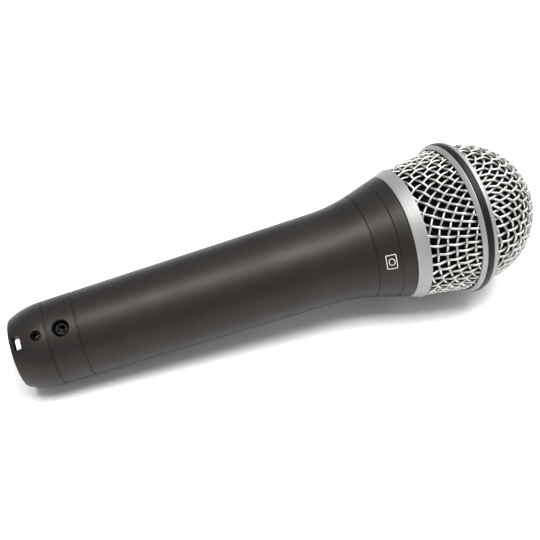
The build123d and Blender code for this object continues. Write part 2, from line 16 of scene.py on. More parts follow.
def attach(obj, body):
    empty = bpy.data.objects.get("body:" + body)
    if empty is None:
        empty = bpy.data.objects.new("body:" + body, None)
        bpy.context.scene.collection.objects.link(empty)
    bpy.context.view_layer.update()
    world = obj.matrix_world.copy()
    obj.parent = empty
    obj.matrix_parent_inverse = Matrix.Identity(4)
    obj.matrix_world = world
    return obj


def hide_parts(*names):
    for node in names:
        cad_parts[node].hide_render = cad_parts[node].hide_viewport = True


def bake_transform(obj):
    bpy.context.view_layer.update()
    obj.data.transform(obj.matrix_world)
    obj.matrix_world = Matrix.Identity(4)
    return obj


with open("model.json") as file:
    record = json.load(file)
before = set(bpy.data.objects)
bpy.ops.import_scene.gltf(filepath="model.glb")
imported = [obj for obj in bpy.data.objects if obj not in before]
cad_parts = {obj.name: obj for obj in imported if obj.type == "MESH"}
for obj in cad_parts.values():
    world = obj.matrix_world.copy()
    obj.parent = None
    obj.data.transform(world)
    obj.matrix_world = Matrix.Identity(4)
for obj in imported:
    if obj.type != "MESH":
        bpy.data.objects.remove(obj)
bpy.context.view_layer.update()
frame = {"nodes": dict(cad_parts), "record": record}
MM = 0.001

# ---- the microphone's own axis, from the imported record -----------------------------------
mounts = {mount["name"]: mount for mount in frame["record"]["mounts"]}
tail_point = Vector(mounts["cable_socket"]["pos_m"])
axis_dir = Vector(mounts["clip_grip"]["axis"]).normalized()
side_dir = Vector((0, 1, 0))
up_dir = axis_dir.cross(side_dir)
mic_turn = Matrix((axis_dir, side_dir, up_dir)).transposed()
mic_to_row = Matrix.Translation(tail_point) @ mic_turn.to_4x4()
row_to_mic = mic_to_row.inverted()

# ---- camera ------------------------------------------------------------------------------
camera_place = Vector((-54.4, -147.4, 186.1)) * MM
camera_azimuth = radians(-18.6)
camera_elevation = radians(46.5)
camera_data = bpy.data.cameras.new("camera")
camera_data.sensor_width = 36.0
camera_data.lens = 46.5
camera_data.clip_start = 0.01
camera = bpy.data.objects.new("camera", camera_data)
camera.location = camera_place
camera.rotation_euler = (pi / 2 - camera_elevation, 0, camera_azimuth)
bpy.context.scene.collection.objects.link(camera)
bpy.context.scene.camera = camera


# ---- small helpers -----------------------------------------------------------------------
def linear(hex_colour):
    """sRGB hex to the linear colour that a node takes."""
    channels = [int(hex_colour[i:i + 2], 16) / 255 for i in (1, 3, 5)]
    return [c / 12.92 if c <= 0.04045 else ((c + 0.055) / 1.055) ** 2.4 for c in channels] + [1.0]


def add(tree, kind, inputs=None, **settings):
    """Adds a node with its settings, and links or sets its inputs."""
    made = tree.nodes.new(kind)
    for name, value in settings.items():
        setattr(made, name, value)
    for socket, value in (inputs or {}).items():
        if isinstance(value, bpy.types.NodeSocket):
            tree.links.new(value, made.inputs[socket])
        else:
            made.inputs[socket].default_value = value
    return made


def new_material(name):
    """An empty node material and its tree."""
    material = bpy.data.materials.new(name)
    material.use_nodes = True
    material.node_tree.nodes.clear()
    return material, material.node_tree


def dress(piece, material):
    """Gives the whole piece one material."""
    piece.data.materials.clear()
    piece.data.materials.append(material)


same_ring = 0.03  # stations closer than this belong to one ring of corners


def outline(node):
    """Outer radius at each station where a turned CAD node has corners, in millimetres."""
    corners = []
    for vertex in frame["nodes"][node].data.vertices:
        place = row_to_mic @ vertex.co
        corners.append((place.x / MM, hypot(place.y, place.z) / MM))
    rings = []
    for station, radius in sorted(corners):
        if rings and station - rings[-1][0] < same_ring:
            rings[-1][1] = max(rings[-1][1], radius)
        else:
            rings.append([station, radius])
    return rings


def only(piece):
    """Deselects everything and makes the piece the one that operators act on."""
    bpy.ops.object.select_all(action="DESELECT")
    piece.select_set(True)
    bpy.context.view_layer.objects.active = piece


def set_down(piece):
    """Takes a piece from microphone space, in millimetres, to its place in the row frame."""
    piece.data.transform(mic_to_row @ Matrix.Scale(MM, 4))
    piece.data.update()


# ---- woven wire cloth, pressed over a round form ------------------------------------------
wire_radius = 0.41
wire_lift = 0.37  # how far a wire's middle rises and dips as it crosses others
cloth_half = wire_radius + wire_lift
steps_per_pitch = 8
dome_pitch = 2.88
dome_turn = radians(17.0)
dome_steps_to_wire = (1, 7)  # steps from the pole to the first wire of each family
basket_pitch = 3.0
basket_turn = radians(-71.0)
basket_steps_to_wire = (3, 1)
basket_flat_start = 19.0  # distance of the mesh's bend from the middle of the flat cloth
end_clearance = 0.3
least_diagonal = 0.4  # of a diamond, as a share of its side; the net stops at flatter ones
net_lowest = -0.12  # how far behind the ball's middle the net goes, as a share of the radius
least_points = 3  # shorter pieces of wire are left out


def weave_side(steps_along, number):
    """1 where a wire is over the one that it crosses, -1 where it is under, or in between."""
    return cos(pi * steps_along / steps_per_pitch) * (-1) ** number


def wire_tubes(name, runs):
    """Round wires along the given runs of points in microphone space, as one mesh."""
    cloth = bpy.data.curves.new(name, "CURVE")
    cloth.dimensions = "3D"
    cloth.bevel_depth = wire_radius
    cloth.bevel_resolution = 2
    cloth.use_fill_caps = True
    for run in runs:
        spline = cloth.splines.new("POLY")
        spline.points.add(len(run) - 1)
        for point, place in zip(spline.points, run):
            point.co = (*place, 1.0)
    piece = bpy.data.objects.new(name, cloth)
    bpy.context.scene.collection.objects.link(piece)
    only(piece)
    bpy.ops.object.convert(target="MESH")
    piece = bpy.context.view_layer.objects.active
    bpy.ops.object.shade_smooth()
    set_down(piece)
    return piece


def pressed_net(radius, step, count):
    """Crossings of a square net laid on a ball, as unit vectors with x forward, for one quarter.

    Both families keep their length between crossings, as cloth does, so that the squares close
    to diamonds.
    """
    net = [[None] * (count + 1) for _ in range(count + 1)]
    for i in range(count + 1):
        angle = i * step / radius
        net[i][0] = Vector((cos(angle), sin(angle), 0))
        net[0][i] = Vector((cos(angle), 0, sin(angle)))
    for i in range(1, count + 1):
        for j in range(1, count + 1):
            last, one, other = net[i - 1][j - 1], net[i - 1][j], net[i][j - 1]
            if last is None or one is None or other is None:
                continue
            plane = one.cross(other)
            if plane.length < 1e-9:
                continue
            plane.normalize()
            place = last - 2 * last.dot(plane) * plane
            diagonal = (place - last).length * radius / step
            if diagonal > least_diagonal and place.x > net_lowest:
                net[i][j] = place
    return net


def dome_runs():
    """Wires of the front mesh: a flat cloth pressed into half a ball."""
    count = int(dome_middle * pi / 2 / dome_pitch * steps_per_pitch) + steps_per_pitch
    net = pressed_net(dome_middle, dome_pitch / steps_per_pitch, count)

    def crossing(u, v):
        """Unit vector for whole steps u and v from the pole, in any of the four quarters."""
        if u >= 0 and v >= 0:
            i, j, quarter = u, v, 0
        elif v >= 0:
            i, j, quarter = v, -u, 1
        elif u < 0:
            i, j, quarter = -u, -v, 2
        else:
            i, j, quarter = -v, u, 3
        turn = Matrix.Rotation(quarter * pi / 2 + dome_turn, 3, "X")
        return net[i][j] and turn @ net[i][j]

    runs = []
    for family, first in enumerate(dome_steps_to_wire):
        other_first = dome_steps_to_wire[1 - family]
        for offset in range(-count, count + 1):
            if (offset - first) % steps_per_pitch:
                continue
            number = (offset - first) // steps_per_pitch
            run = []
            for along in range(-count, count + 1):
                place = crossing(offset, along) if family == 0 else crossing(along, offset)
                keep = place and dome_centre + dome_middle * place.x > dome_rear + end_clearance
                if keep:
                    side = weave_side(along - other_first, number) * (1 if family == 0 else -1)
                    reach = dome_middle + wire_lift * side
                    run.append((dome_centre + reach * place.x, reach * place.z, reach * place.y))
                if run and (not keep or along == count):
                    if len(run) >= least_points:
                        runs.append(run)
                    run = []
    return runs


def basket_place(flat_radius):
    """Station, radius and outward normal of the lower mesh's middle surface."""
    run = flat_radius - basket_flat_start
    near, far = basket_points[1:] if run >= 0 else basket_points[:2]
    along = (Vector(far) - Vector(near)).normalized()
    station, radius = Vector(basket_points[1]) + along * run
    return station, radius, -along.y, along.x


def basket_runs():
    """Wires of the lower mesh: a flat cloth spread over a cone."""
    step = basket_pitch / steps_per_pitch
    inner = basket_flat_start - basket_tuck + end_clearance
    outer = basket_flat_start + basket_reach - end_clearance
    count = int(outer / step) + 1
    runs = []
    for family, first in enumerate(basket_steps_to_wire):
        other_first = basket_steps_to_wire[1 - family]
        for offset in range(-count, count + 1):
            if (offset - first) % steps_per_pitch:
                continue
            number = (offset - first) // steps_per_pitch
            run = []
            for along in range(-count, count + 1):
                flat = (offset * step, along * step)
                if family:
                    flat = (along * step, offset * step)
                keep = inner < hypot(*flat) < outer
                if keep:
                    side = weave_side(along - other_first, number) * (1 if family == 0 else -1)
                    station, radius, lean_x, lean_r = basket_place(hypot(*flat))
                    angle = atan2(flat[0], flat[1]) + basket_turn
                    station += wire_lift * side * lean_x
                    radius += wire_lift * side * lean_r
                    run.append((station, radius * sin(angle), radius * cos(angle)))
                if run and (not keep or along == count):
                    if len(run) >= least_points:
                        runs.append(run)
                    run = []
    return runs


dome_outline = outline("dome_mesh")
dome_outer = max(radius for station, radius in dome_outline)
dome_middle = dome_outer - cloth_half
dome_centre = dome_outline[-1][0] - dome_outer
dome_rear = dome_outline[0][0]
basket_outline = outline("lower_basket")
basket_slopes = [
    (radius - last_radius) / (station - last_station)
    for (last_station, last_radius), (station, radius) in zip(basket_outline, basket_outline[1:])
]
basket_bend = max(
    range(1, len(basket_slopes)), key=lambda i: basket_slopes[i - 1] - basket_slopes[i]
)
basket_points = [
    (basket_outline[i][0], basket_outline[i][1] - cloth_half) for i in (0, basket_bend, -1)
]
basket_tuck = (Vector(basket_points[1]) - Vector(basket_points[0])).length
basket_reach = (Vector(basket_points[2]) - Vector(basket_points[1])).length

dome_weave = wire_tubes("dome_weave", dome_runs())
basket_weave = wire_tubes("basket_weave", basket_runs())
for weave, node in ((dome_weave, "dome_mesh"), (basket_weave, "lower_basket")):
    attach(weave, "grille_body")
    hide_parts(node)


# ---- smooth copies of the CAD pieces that show ----------------------------------------------
weld_distance = 0.002
sharp_angle = radians(30)
bevel_steps = 2
outside_lean = 0.6  # faces that look less outwards than this are not the outside
ring_gap = 0.01  # rings are told apart by their stations, rounded to this
even_angle = radians(25)  # a corner that leans further from its ring keeps its own shading


def merged_copy(node, name, bevel=0.0):
    """A CAD node's copy, with joined corners, edges rounded by bevel and soft shading."""
    piece = bpy.data.objects.new(name, frame["nodes"][node].data.copy())
    bpy.context.scene.collection.objects.link(piece)
    only(piece)
    bpy.ops.object.mode_set(mode="EDIT")
    bpy.ops.mesh.select_all(action="SELECT")
    bpy.ops.mesh.remove_doubles(threshold=weld_distance * MM)
    bpy.ops.object.mode_set(mode="OBJECT")
    if bevel:
        rounding = piece.modifiers.new("rounding", "BEVEL")
        rounding.limit_method = "ANGLE"
        rounding.angle_limit = sharp_angle
        rounding.width = bevel * MM
        rounding.segments = bevel_steps
        bpy.ops.object.modifier_apply(modifier=rounding.name)
    bpy.ops.object.shade_smooth_by_angle(angle=sharp_angle)
    return piece


def shade_as_turned(piece, ring_count=24):
    """Gives the outside of a turned piece the even shading of its whole rings, up to its holes.

    On the barrel it stops at the seam, the widest ring, because the thread beyond it is sharp.
    """
    mesh = piece.data
    turn = row_to_mic.to_3x3()
    back = turn.transposed()
    places = [row_to_mic @ vertex.co for vertex in mesh.vertices]
    normals = [turn @ face.normal for face in mesh.polygons]
    rings = {}
    for face, normal in zip(mesh.polygons, normals):
        middle = row_to_mic @ face.center
        lean = (middle.y * normal.y + middle.z * normal.z) / max(hypot(middle.y, middle.z), 1e-9)
        if lean < outside_lean:
            continue
        for index in face.vertices:
            ring = rings.setdefault(round(places[index].x / MM, 2), [0.0, 0.0, set()])
            ring[0] += normal.x * face.area
            ring[1] += lean * face.area
            ring[2].add(index)
    table = sorted(
        (station, atan2(x, r))
        for station, (x, r, members) in rings.items()
        if len(members) >= ring_count
    )
    if piece == barrel:
        end = max(places, key=lambda place: hypot(place.y, place.z))
    else:
        end = max(places, key=lambda place: place.x)
    last = end.x / MM + ring_gap
    corners = [(0.0, 0.0, 0.0)] * len(mesh.loops)
    for face, normal in zip(mesh.polygons, normals):
        for corner in face.loop_indices:
            place = places[mesh.loops[corner].vertex_index]
            station = place.x / MM
            after = bisect_left(table, (station - ring_gap / 2,))
            after = min(max(after, 1), len(table) - 1)
            (low, low_lean), (high, high_lean) = table[after - 1], table[after]
            share = min(max((station - low) / max(high - low, 1e-6), 0.0), 1.0)
            lean = low_lean + (high_lean - low_lean) * share
            reach = max(hypot(place.y, place.z), 1e-9)
            across = cos(lean) / reach
            even = Vector((sin(lean), across * place.y, across * place.z))
            if station <= last and even.dot(normal) > cos(even_angle):
                corners[corner] = back @ even
    mesh.normals_split_custom_set(corners)


def stand_in(piece, node, body):
    """Puts a new piece in a CAD node's place."""
    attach(piece, body)
    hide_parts(node)
    return piece


def smoothed(node, name, body, bevel=0.0):
    """A smooth copy of a CAD node, in the node's place."""
    return stand_in(merged_copy(node, name, bevel), node, body)


barrel = smoothed("handle", "barrel", "handle_body")
collar = smoothed("collar_ring", "collar", "grille_body", bevel=0.18)
back_band = smoothed("back_band_ring", "back_band", "grille_body", bevel=0.15)
front_band = smoothed("front_band_ring", "front_band", "grille_body", bevel=0.12)
bumper = smoothed("bumper_ring", "bumper", "grille_body")
for turned in (barrel, collar, back_band, front_band, bumper):
    shade_as_turned(turned)
insert = smoothed("socket_insert", "insert", "handle_body", bevel=0.1)
screw = smoothed("insert_screw", "screw", "handle_body", bevel=0.08)
pins = [
    smoothed(f"contact_pin_{number}", f"pin_{number}", "handle_body", bevel=0.08)
    for number in (1, 2, 3)
]
mount = smoothed("shock_mount", "mount", "handle_body", bevel=0.15)
capsule_cap = smoothed("resonator_cap", "capsule_cap", "capsule_body", bevel=0.12)
capsule_rim = smoothed("capsule_frame", "capsule_rim", "capsule_body", bevel=0.1)


# ---- leads: smooth copies of the CAD leads ---------------------------------------------------
leads = {}
for node, slot_name in (("lead_hot", "lead_red"), ("lead_cold", "lead_white")):
    lead = merged_copy(node, f"{node}_wire")
    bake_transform(lead)
    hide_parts(node)
    leads[node] = lead


# ---- printed mark on the neck: a frame round the sign for a heart-shaped pick-up pattern -------
mark_station = 117.0
mark_angle = radians(-65.0)
mark_half = (1.5, 2.2)
mark_corner = 0.25
mark_line = 0.24
mark_pattern = 0.78
pattern_back = 0.75 * mark_pattern  # from the heart's dimple to about its middle
mark_height = 0.02
corner_steps = 4
side_steps = 12
pattern_steps = 72
neck_radius = 17.4  # at the mark's middle
ray_start = 40.0  # well outside the neck


def on_neck(forward, round_neck):
    """A spot just above the neck's paint, so many millimetres from the mark's middle."""
    angle = mark_angle + round_neck / neck_radius
    outwards = Vector((0, sin(angle), cos(angle)))
    start = mic_to_row @ ((Vector((mark_station + forward, 0, 0)) + outwards * ray_start) * MM)
    spot, normal = barrel.ray_cast(start, -(mic_turn @ outwards))[1:3]
    return spot + normal * mark_height * MM


def printed_loop(places):
    """Corners and faces of a line of ink round a closed run of flat places."""
    corners, faces = [], []
    count = len(places)
    for index in range(count):
        before, here, after = (Vector(places[(index + k) % count]) for k in (-1, 0, 1))
        along = (after - before).normalized()
        side = Vector((along.y, -along.x)) * mark_line / 2
        corners += [on_neck(*(here + side)), on_neck(*(here - side))]
        step = 2 * ((index + 1) % count)
        faces.append((2 * index, step, step + 1, 2 * index + 1))
    return corners, faces


def frame_places():
    """A rounded rectangle, with spots along its sides close enough to follow the neck."""
    arcs = []
    for turn, (x, y) in enumerate(((1, -1), (1, 1), (-1, 1), (-1, -1))):
        middle = Vector((x * (mark_half[0] - mark_corner), y * (mark_half[1] - mark_corner)))
        arc = []
        for k in range(corner_steps + 1):
            angle = pi / 2 * (turn - 1 + k / corner_steps)
            arc.append(middle + Vector((cos(angle), sin(angle))) * mark_corner)
        arcs.append(arc)
    places = []
    for arc, next_arc in zip(arcs, arcs[1:] + arcs[:1]):
        places += arc
        places += [arc[-1].lerp(next_arc[0], k / side_steps) for k in range(1, side_steps)]
    return places


def pattern_places():
    """The heart-shaped curve r = a(1 + cos angle), with its nose towards the grille."""
    places = []
    for k in range(pattern_steps):
        angle = 2 * pi * (k + 0.5) / pattern_steps
        reach = mark_pattern * (1 + cos(angle))
        places.append((reach * cos(angle) - pattern_back, reach * sin(angle)))
    return places


mark_corners, mark_faces = [], []
bpy.context.view_layer.update()
for places in (frame_places(), pattern_places()):
    corners, faces = printed_loop(places)
    mark_faces += [tuple(len(mark_corners) + index for index in face) for face in faces]
    mark_corners += corners
mark_mesh = bpy.data.meshes.new("neck_mark")
mark_mesh.from_pydata(mark_corners, [], mark_faces)
mark = bpy.data.objects.new("neck_mark", mark_mesh)
bpy.context.scene.collection.objects.link(mark)
only(mark)
ink = mark.modifiers.new("ink", "SOLIDIFY")
ink.thickness = 2 * mark_height * MM
ink.offset = -1
bpy.ops.object.modifier_apply(modifier=ink.name)
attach(mark, "handle_body")


# ---- foam and felt ----------------------------------------------------------------------------
foam_wall = 2.5
foam_lump = (0.22, 1.3)  # depth and size of the lumps in the cut foam
foam_steps = (20, 8)  # along the foam's cone, outside and inside
foam_angles = (3, 5)  # degrees from corner to corner of its dome, outside and inside
foam_turns = 128
felt_lump = (0.03, 0.8)
felt_rim = 0.55  # the felt's thickness at its edge, as a share of that in the middle
felt_crown = 4  # how suddenly the felt thins towards its edge
felt_steps = (8, 12)  # from the felt's middle to its edge, at the back and at the front
felt_turns = 64
felt_angle = radians(50)
spun_weld = 0.001
second_lump = (2.3, 0.5)  # how much finer and how much shallower the second lumps are


def straight(start, end, steps):
    """Evenly spaced corners from start up to the last one before end."""
    return [tuple(a + (b - a) * i / steps for a, b in zip(start, end)) for i in range(steps)]


def quarter_ball(centre, radius, angles):
    """Corners of a ball's outline at angles in degrees, from its side to its nose."""
    return [(centre + radius * sin(radians(a)), radius * cos(radians(a))) for a in angles]


def spun(name, profile, turns):
    """A closed profile of (station, radius) corners spun round the microphone's axis."""
    mesh = bpy.data.meshes.new(name)
    mesh.from_pydata(
        [(station, 0, radius) for station, radius in profile],
        [(i, (i + 1) % len(profile)) for i in range(len(profile))],
        [],
    )
    piece = bpy.data.objects.new(name, mesh)
    bpy.context.scene.collection.objects.link(piece)
    only(piece)
    bpy.ops.object.mode_set(mode="EDIT")
    bpy.ops.mesh.select_all(action="SELECT")
    bpy.ops.mesh.spin(steps=turns, angle=2 * pi, center=(0, 0, 0), axis=(1, 0, 0))
    bpy.ops.mesh.select_all(action="SELECT")
    bpy.ops.mesh.remove_doubles(threshold=spun_weld)
    bpy.ops.mesh.select_all(action="SELECT")
    bpy.ops.mesh.normals_make_consistent(inside=False)
    bpy.ops.object.mode_set(mode="OBJECT")
    return piece


def roughened(piece, height, size):
    """Pushes the surface inwards by up to height, in lumps of the given size."""
    mesh = piece.data
    pushes = []
    for vertex in mesh.vertices:
        spot = vertex.co / size
        lump = noise.noise(spot) + second_lump[1] * noise.noise(spot * second_lump[0])
        pushes.append(vertex.co - vertex.normal * height * min(max(0.5 + lump, 0.0), 1.0))
    for vertex, place in zip(mesh.vertices, pushes):
        vertex.co = place


foam_outline = outline("foam_liner")
foam_start = foam_outline[0][0]
foam_outer = max(radius for station, radius in foam_outline)
foam_centre = foam_outline[-1][0] - foam_outer
foam_rear = foam_outline[0][1]
foam_inner = foam_outer - foam_wall
foam_profile = (
    straight((foam_start, foam_rear), (foam_centre, foam_outer), foam_steps[0])
    + quarter_ball(foam_centre, foam_outer, range(0, 91, foam_angles[0]))
    + quarter_ball(foam_centre, foam_inner, range(90, -1, -foam_angles[1]))
    + straight((foam_start, foam_rear - foam_wall), (foam_centre, foam_inner), foam_steps[1])[::-1]
)
foam = spun("foam", foam_profile, foam_turns)
roughened(foam, *foam_lump)
only(foam)
bpy.ops.object.shade_smooth()
set_down(foam)
stand_in(foam, "foam_liner", "foam_body")

screen_outline = outline("cap_screen")
screen_back, screen_front = screen_outline[0][0], screen_outline[-1][0]
screen_radius = max(radius for station, radius in screen_outline)
screen_edge = (screen_back, screen_radius)
back_steps, front_steps = felt_steps
screen_profile = straight((screen_back, 0.0), screen_edge, back_steps) + [screen_edge]
for i in range(front_steps, -1, -1):
    crown = 1 - (i / front_steps) ** felt_crown
    thickness = (screen_front - screen_back) * (felt_rim + (1 - felt_rim) * crown)
    screen_profile.append((screen_back + thickness, screen_radius * i / front_steps))
screen = spun("felt_screen", screen_profile, felt_turns)
roughened(screen, *felt_lump)
only(screen)
bpy.ops.object.shade_smooth_by_angle(angle=felt_angle)
set_down(screen)
stand_in(screen, "cap_screen", "capsule_body")


# ---- materials ----------------------------------------------------------------------------
microphone_turn = (0.0, axis_dir.angle(Vector((1, 0, 0))), 0.0)
microphone_shift = tuple(row_to_mic.translation)


def in_microphone(tree, stretch=(1.0, 1.0, 1.0)):
    """Object coordinates, turned so that x runs along the microphone from its tail."""
    place = add(tree, "ShaderNodeTexCoord").outputs["Object"]
    turned = add(tree, "ShaderNodeMapping", {
        "Vector": place, "Location": microphone_shift, "Rotation": microphone_turn})
    stretched = add(tree, "ShaderNodeMapping", {
        "Vector": turned.outputs["Vector"], "Scale": stretch})
    return stretched.outputs["Vector"]


def sprayed_paint(name, light, dark, roughness):
    """Satin stoving paint on a zinc casting.

    The eye gets an even charcoal with a broad soft highlight, a very fine orange peel and a
    slightly cloudier gloss, in patches of 14 mm, where hands have polished it. Real orange peel
    is about 0.3 mm across; it is drawn at 0.5 mm so that it shows.
    """
    material, tree = new_material(name)
    place = in_microphone(tree)
    cloud = add(tree, "ShaderNodeTexNoise", {
        "Vector": place, "Scale": 1 / (14 * MM), "Detail": 4.0})
    peel = add(tree, "ShaderNodeTexNoise", {
        "Vector": place, "Scale": 1 / (0.5 * MM), "Detail": 2.0})
    tone = add(tree, "ShaderNodeValToRGB", {"Fac": cloud.outputs["Fac"]})
    low, high = tone.color_ramp.elements
    low.position, high.position = 0.3, 0.7
    low.color, high.color = linear(dark), linear(light)
    rough = add(tree, "ShaderNodeMapRange", {
        "Value": cloud.outputs["Fac"], "From Min": 0.3, "From Max": 0.7,
        "To Min": roughness + 0.03, "To Max": roughness - 0.03})
    bump = add(tree, "ShaderNodeBump", {
        "Height": peel.outputs["Fac"], "Strength": 0.35, "Distance": 0.02 * MM})
    shader = add(tree, "ShaderNodeBsdfPrincipled", {
        "Base Color": tone.outputs["Color"], "Roughness": rough.outputs["Result"], "IOR": 1.5,
        "Specular IOR Level": 0.3, "Specular Tint": linear("#fff0e8"),
        "Normal": bump.outputs["Normal"]})
    add(tree, "ShaderNodeOutputMaterial", {"Surface": shader.outputs["BSDF"]})
    return material


def turned_silver(name, light, dark, roughness):
    """Turned ring with a satin silver lacquer.

    The eye gets a soft grey metal with faint rings left by the lathe, which run nearly whole
    round the piece. Real tool marks are about 0.05 mm apart; they are drawn at 0.25 mm so that
    they show.
    """
    material, tree = new_material(name)
    rings = add(tree, "ShaderNodeTexNoise", {
        "Vector": in_microphone(tree, (1 / (0.25 * MM), 12.0, 12.0)), "Scale": 1.0, "Detail": 2.0})
    cloud = add(tree, "ShaderNodeTexNoise", {
        "Vector": in_microphone(tree), "Scale": 1 / (6 * MM), "Detail": 3.0})
    tone = add(tree, "ShaderNodeValToRGB", {"Fac": cloud.outputs["Fac"]})
    low, high = tone.color_ramp.elements
    low.position, high.position = 0.3, 0.7
    low.color, high.color = linear(dark), linear(light)
    rough = add(tree, "ShaderNodeMapRange", {
        "Value": rings.outputs["Fac"], "To Min": roughness - 0.06, "To Max": roughness + 0.06})
    bump = add(tree, "ShaderNodeBump", {
        "Height": rings.outputs["Fac"], "Strength": 0.25, "Distance": 0.01 * MM})
    shader = add(tree, "ShaderNodeBsdfPrincipled", {
        "Base Color": tone.outputs["Color"], "Metallic": 0.6, "Roughness": rough.outputs["Result"],
        "Normal": bump.outputs["Normal"]})
    add(tree, "ShaderNodeOutputMaterial", {"Surface": shader.outputs["BSDF"]})
    return material


def drawn_wire(name, light, dark, roughness):
    """Nickel-plated steel wire.

    The eye gets bright light-grey wires with small hard glints, and duller patches a few
    millimetres wide where the plating has been handled. The real wire's drawing marks are too
    fine to show; its bump is drawn in lumps of 0.3 mm.
    """
    material, tree = new_material(name)
    place = in_microphone(tree)
    patch = add(tree, "ShaderNodeTexNoise", {
        "Vector": place, "Scale": 1 / (5 * MM), "Detail": 4.0, "Roughness": 0.6})
    tone = add(tree, "ShaderNodeValToRGB", {"Fac": patch.outputs["Fac"]})
    low, high = tone.color_ramp.elements
    low.position, high.position = 0.32, 0.62
    low.color, high.color = linear(dark), linear(light)
    rough = add(tree, "ShaderNodeMapRange", {
        "Value": patch.outputs["Fac"], "From Min": 0.3, "From Max": 0.7,
        "To Min": roughness + 0.08, "To Max": roughness - 0.05})
    fine = add(tree, "ShaderNodeTexNoise", {
        "Vector": place, "Scale": 1 / (0.3 * MM), "Detail": 1.0})
    bump = add(tree, "ShaderNodeBump", {
        "Height": fine.outputs["Fac"], "Strength": 0.2, "Distance": 0.01 * MM})
    shader = add(tree, "ShaderNodeBsdfPrincipled", {
        "Base Color": tone.outputs["Color"], "Metallic": 1.0, "Roughness": rough.outputs["Result"],
        "Normal": bump.outputs["Normal"]})
    add(tree, "ShaderNodeOutputMaterial", {"Surface": shader.outputs["BSDF"]})
    return material


def moulded_plastic(name, light, dark, roughness, grain_mm):
    """Moulded nylon or ABS, or extruded vinyl.

    The eye gets a flat even body with a soft sheen and the faint grain of its tool. Real
    spark-eroded grain is about 0.1 mm across; it is drawn at the given size so that it shows.
    """
    material, tree = new_material(name)
    place = add(tree, "ShaderNodeTexCoord").outputs["Object"]
    cloud = add(tree, "ShaderNodeTexNoise", {
        "Vector": place, "Scale": 1 / (4 * MM), "Detail": 3.0})
    grain = add(tree, "ShaderNodeTexVoronoi", {"Vector": place, "Scale": 1 / (grain_mm * MM)})
    tone = add(tree, "ShaderNodeValToRGB", {"Fac": cloud.outputs["Fac"]})
    low, high = tone.color_ramp.elements
    low.position, high.position = 0.3, 0.7
    low.color, high.color = linear(dark), linear(light)
    rough = add(tree, "ShaderNodeMapRange", {
        "Value": grain.outputs["Distance"], "To Min": roughness - 0.05,
        "To Max": roughness + 0.07})
    bump = add(tree, "ShaderNodeBump", {
        "Height": grain.outputs["Distance"], "Strength": 0.3, "Distance": 0.02 * MM})
    shader = add(tree, "ShaderNodeBsdfPrincipled", {
        "Base Color": tone.outputs["Color"], "Roughness": rough.outputs["Result"], "IOR": 1.52,
        "Normal": bump.outputs["Normal"]})
    add(tree, "ShaderNodeOutputMaterial", {"Surface": shader.outputs["BSDF"]})
    return material


def soft_rubber(name, light, dark, roughness):
    """Moulded nitrile rubber.

    The eye gets a deep black with a dull sheen, and dust in specks of about a millimetre.
    """
    material, tree = new_material(name)
    place = add(tree, "ShaderNodeTexCoord").outputs["Object"]
    dust = add(tree, "ShaderNodeTexNoise", {
        "Vector": place, "Scale": 1 / (1.2 * MM), "Detail": 5.0, "Roughness": 0.65})
    tone = add(tree, "ShaderNodeValToRGB", {"Fac": dust.outputs["Fac"]})
    low, high = tone.color_ramp.elements
    low.position, high.position = 0.4, 0.8
    low.color, high.color = linear(dark), linear(light)
    rough = add(tree, "ShaderNodeMapRange", {
        "Value": dust.outputs["Fac"], "To Min": roughness - 0.08, "To Max": roughness + 0.08})
    bump = add(tree, "ShaderNodeBump", {
        "Height": dust.outputs["Fac"], "Strength": 0.3, "Distance": 0.02 * MM})
    shader = add(tree, "ShaderNodeBsdfPrincipled", {
        "Base Color": tone.outputs["Color"], "Roughness": rough.outputs["Result"], "IOR": 1.5,
        "Specular IOR Level": 0.25, "Normal": bump.outputs["Normal"]})
    add(tree, "ShaderNodeOutputMaterial", {"Surface": shader.outputs["BSDF"]})
    return material


def open_cell_foam(name, light, dark, cell_mm):
    """Reticulated polyurethane foam, or felt when the cells are fine.

    The eye gets a matt black full of tiny pits, each darkened towards its middle by painted shade
    that follows the bump's depth. Real cells are about 0.4 mm across in foam and 0.2 mm in felt;
    they are drawn at the given size, a little coarser, so that they show.
    """
    material, tree = new_material(name)
    place = add(tree, "ShaderNodeTexCoord").outputs["Object"]
    cells = add(tree, "ShaderNodeTexVoronoi", {"Vector": place, "Scale": 1 / (cell_mm * MM)})
    # painted shade: the colour runs from dark at each cell's middle, where the bump is deepest, to
    # light at its rim
    tone = add(tree, "ShaderNodeValToRGB", {"Fac": cells.outputs["Distance"]})
    low, high = tone.color_ramp.elements
    low.position, high.position = 0.1, 0.7
    low.color, high.color = linear(dark), linear(light)
    bump = add(tree, "ShaderNodeBump", {
        "Height": cells.outputs["Distance"], "Strength": 0.8, "Distance": 0.25 * MM})
    shader = add(tree, "ShaderNodeBsdfPrincipled", {
        "Base Color": tone.outputs["Color"], "Roughness": 1.0, "Specular IOR Level": 0.1,
        "Normal": bump.outputs["Normal"]})
    add(tree, "ShaderNodeOutputMaterial", {"Surface": shader.outputs["BSDF"]})
    return material


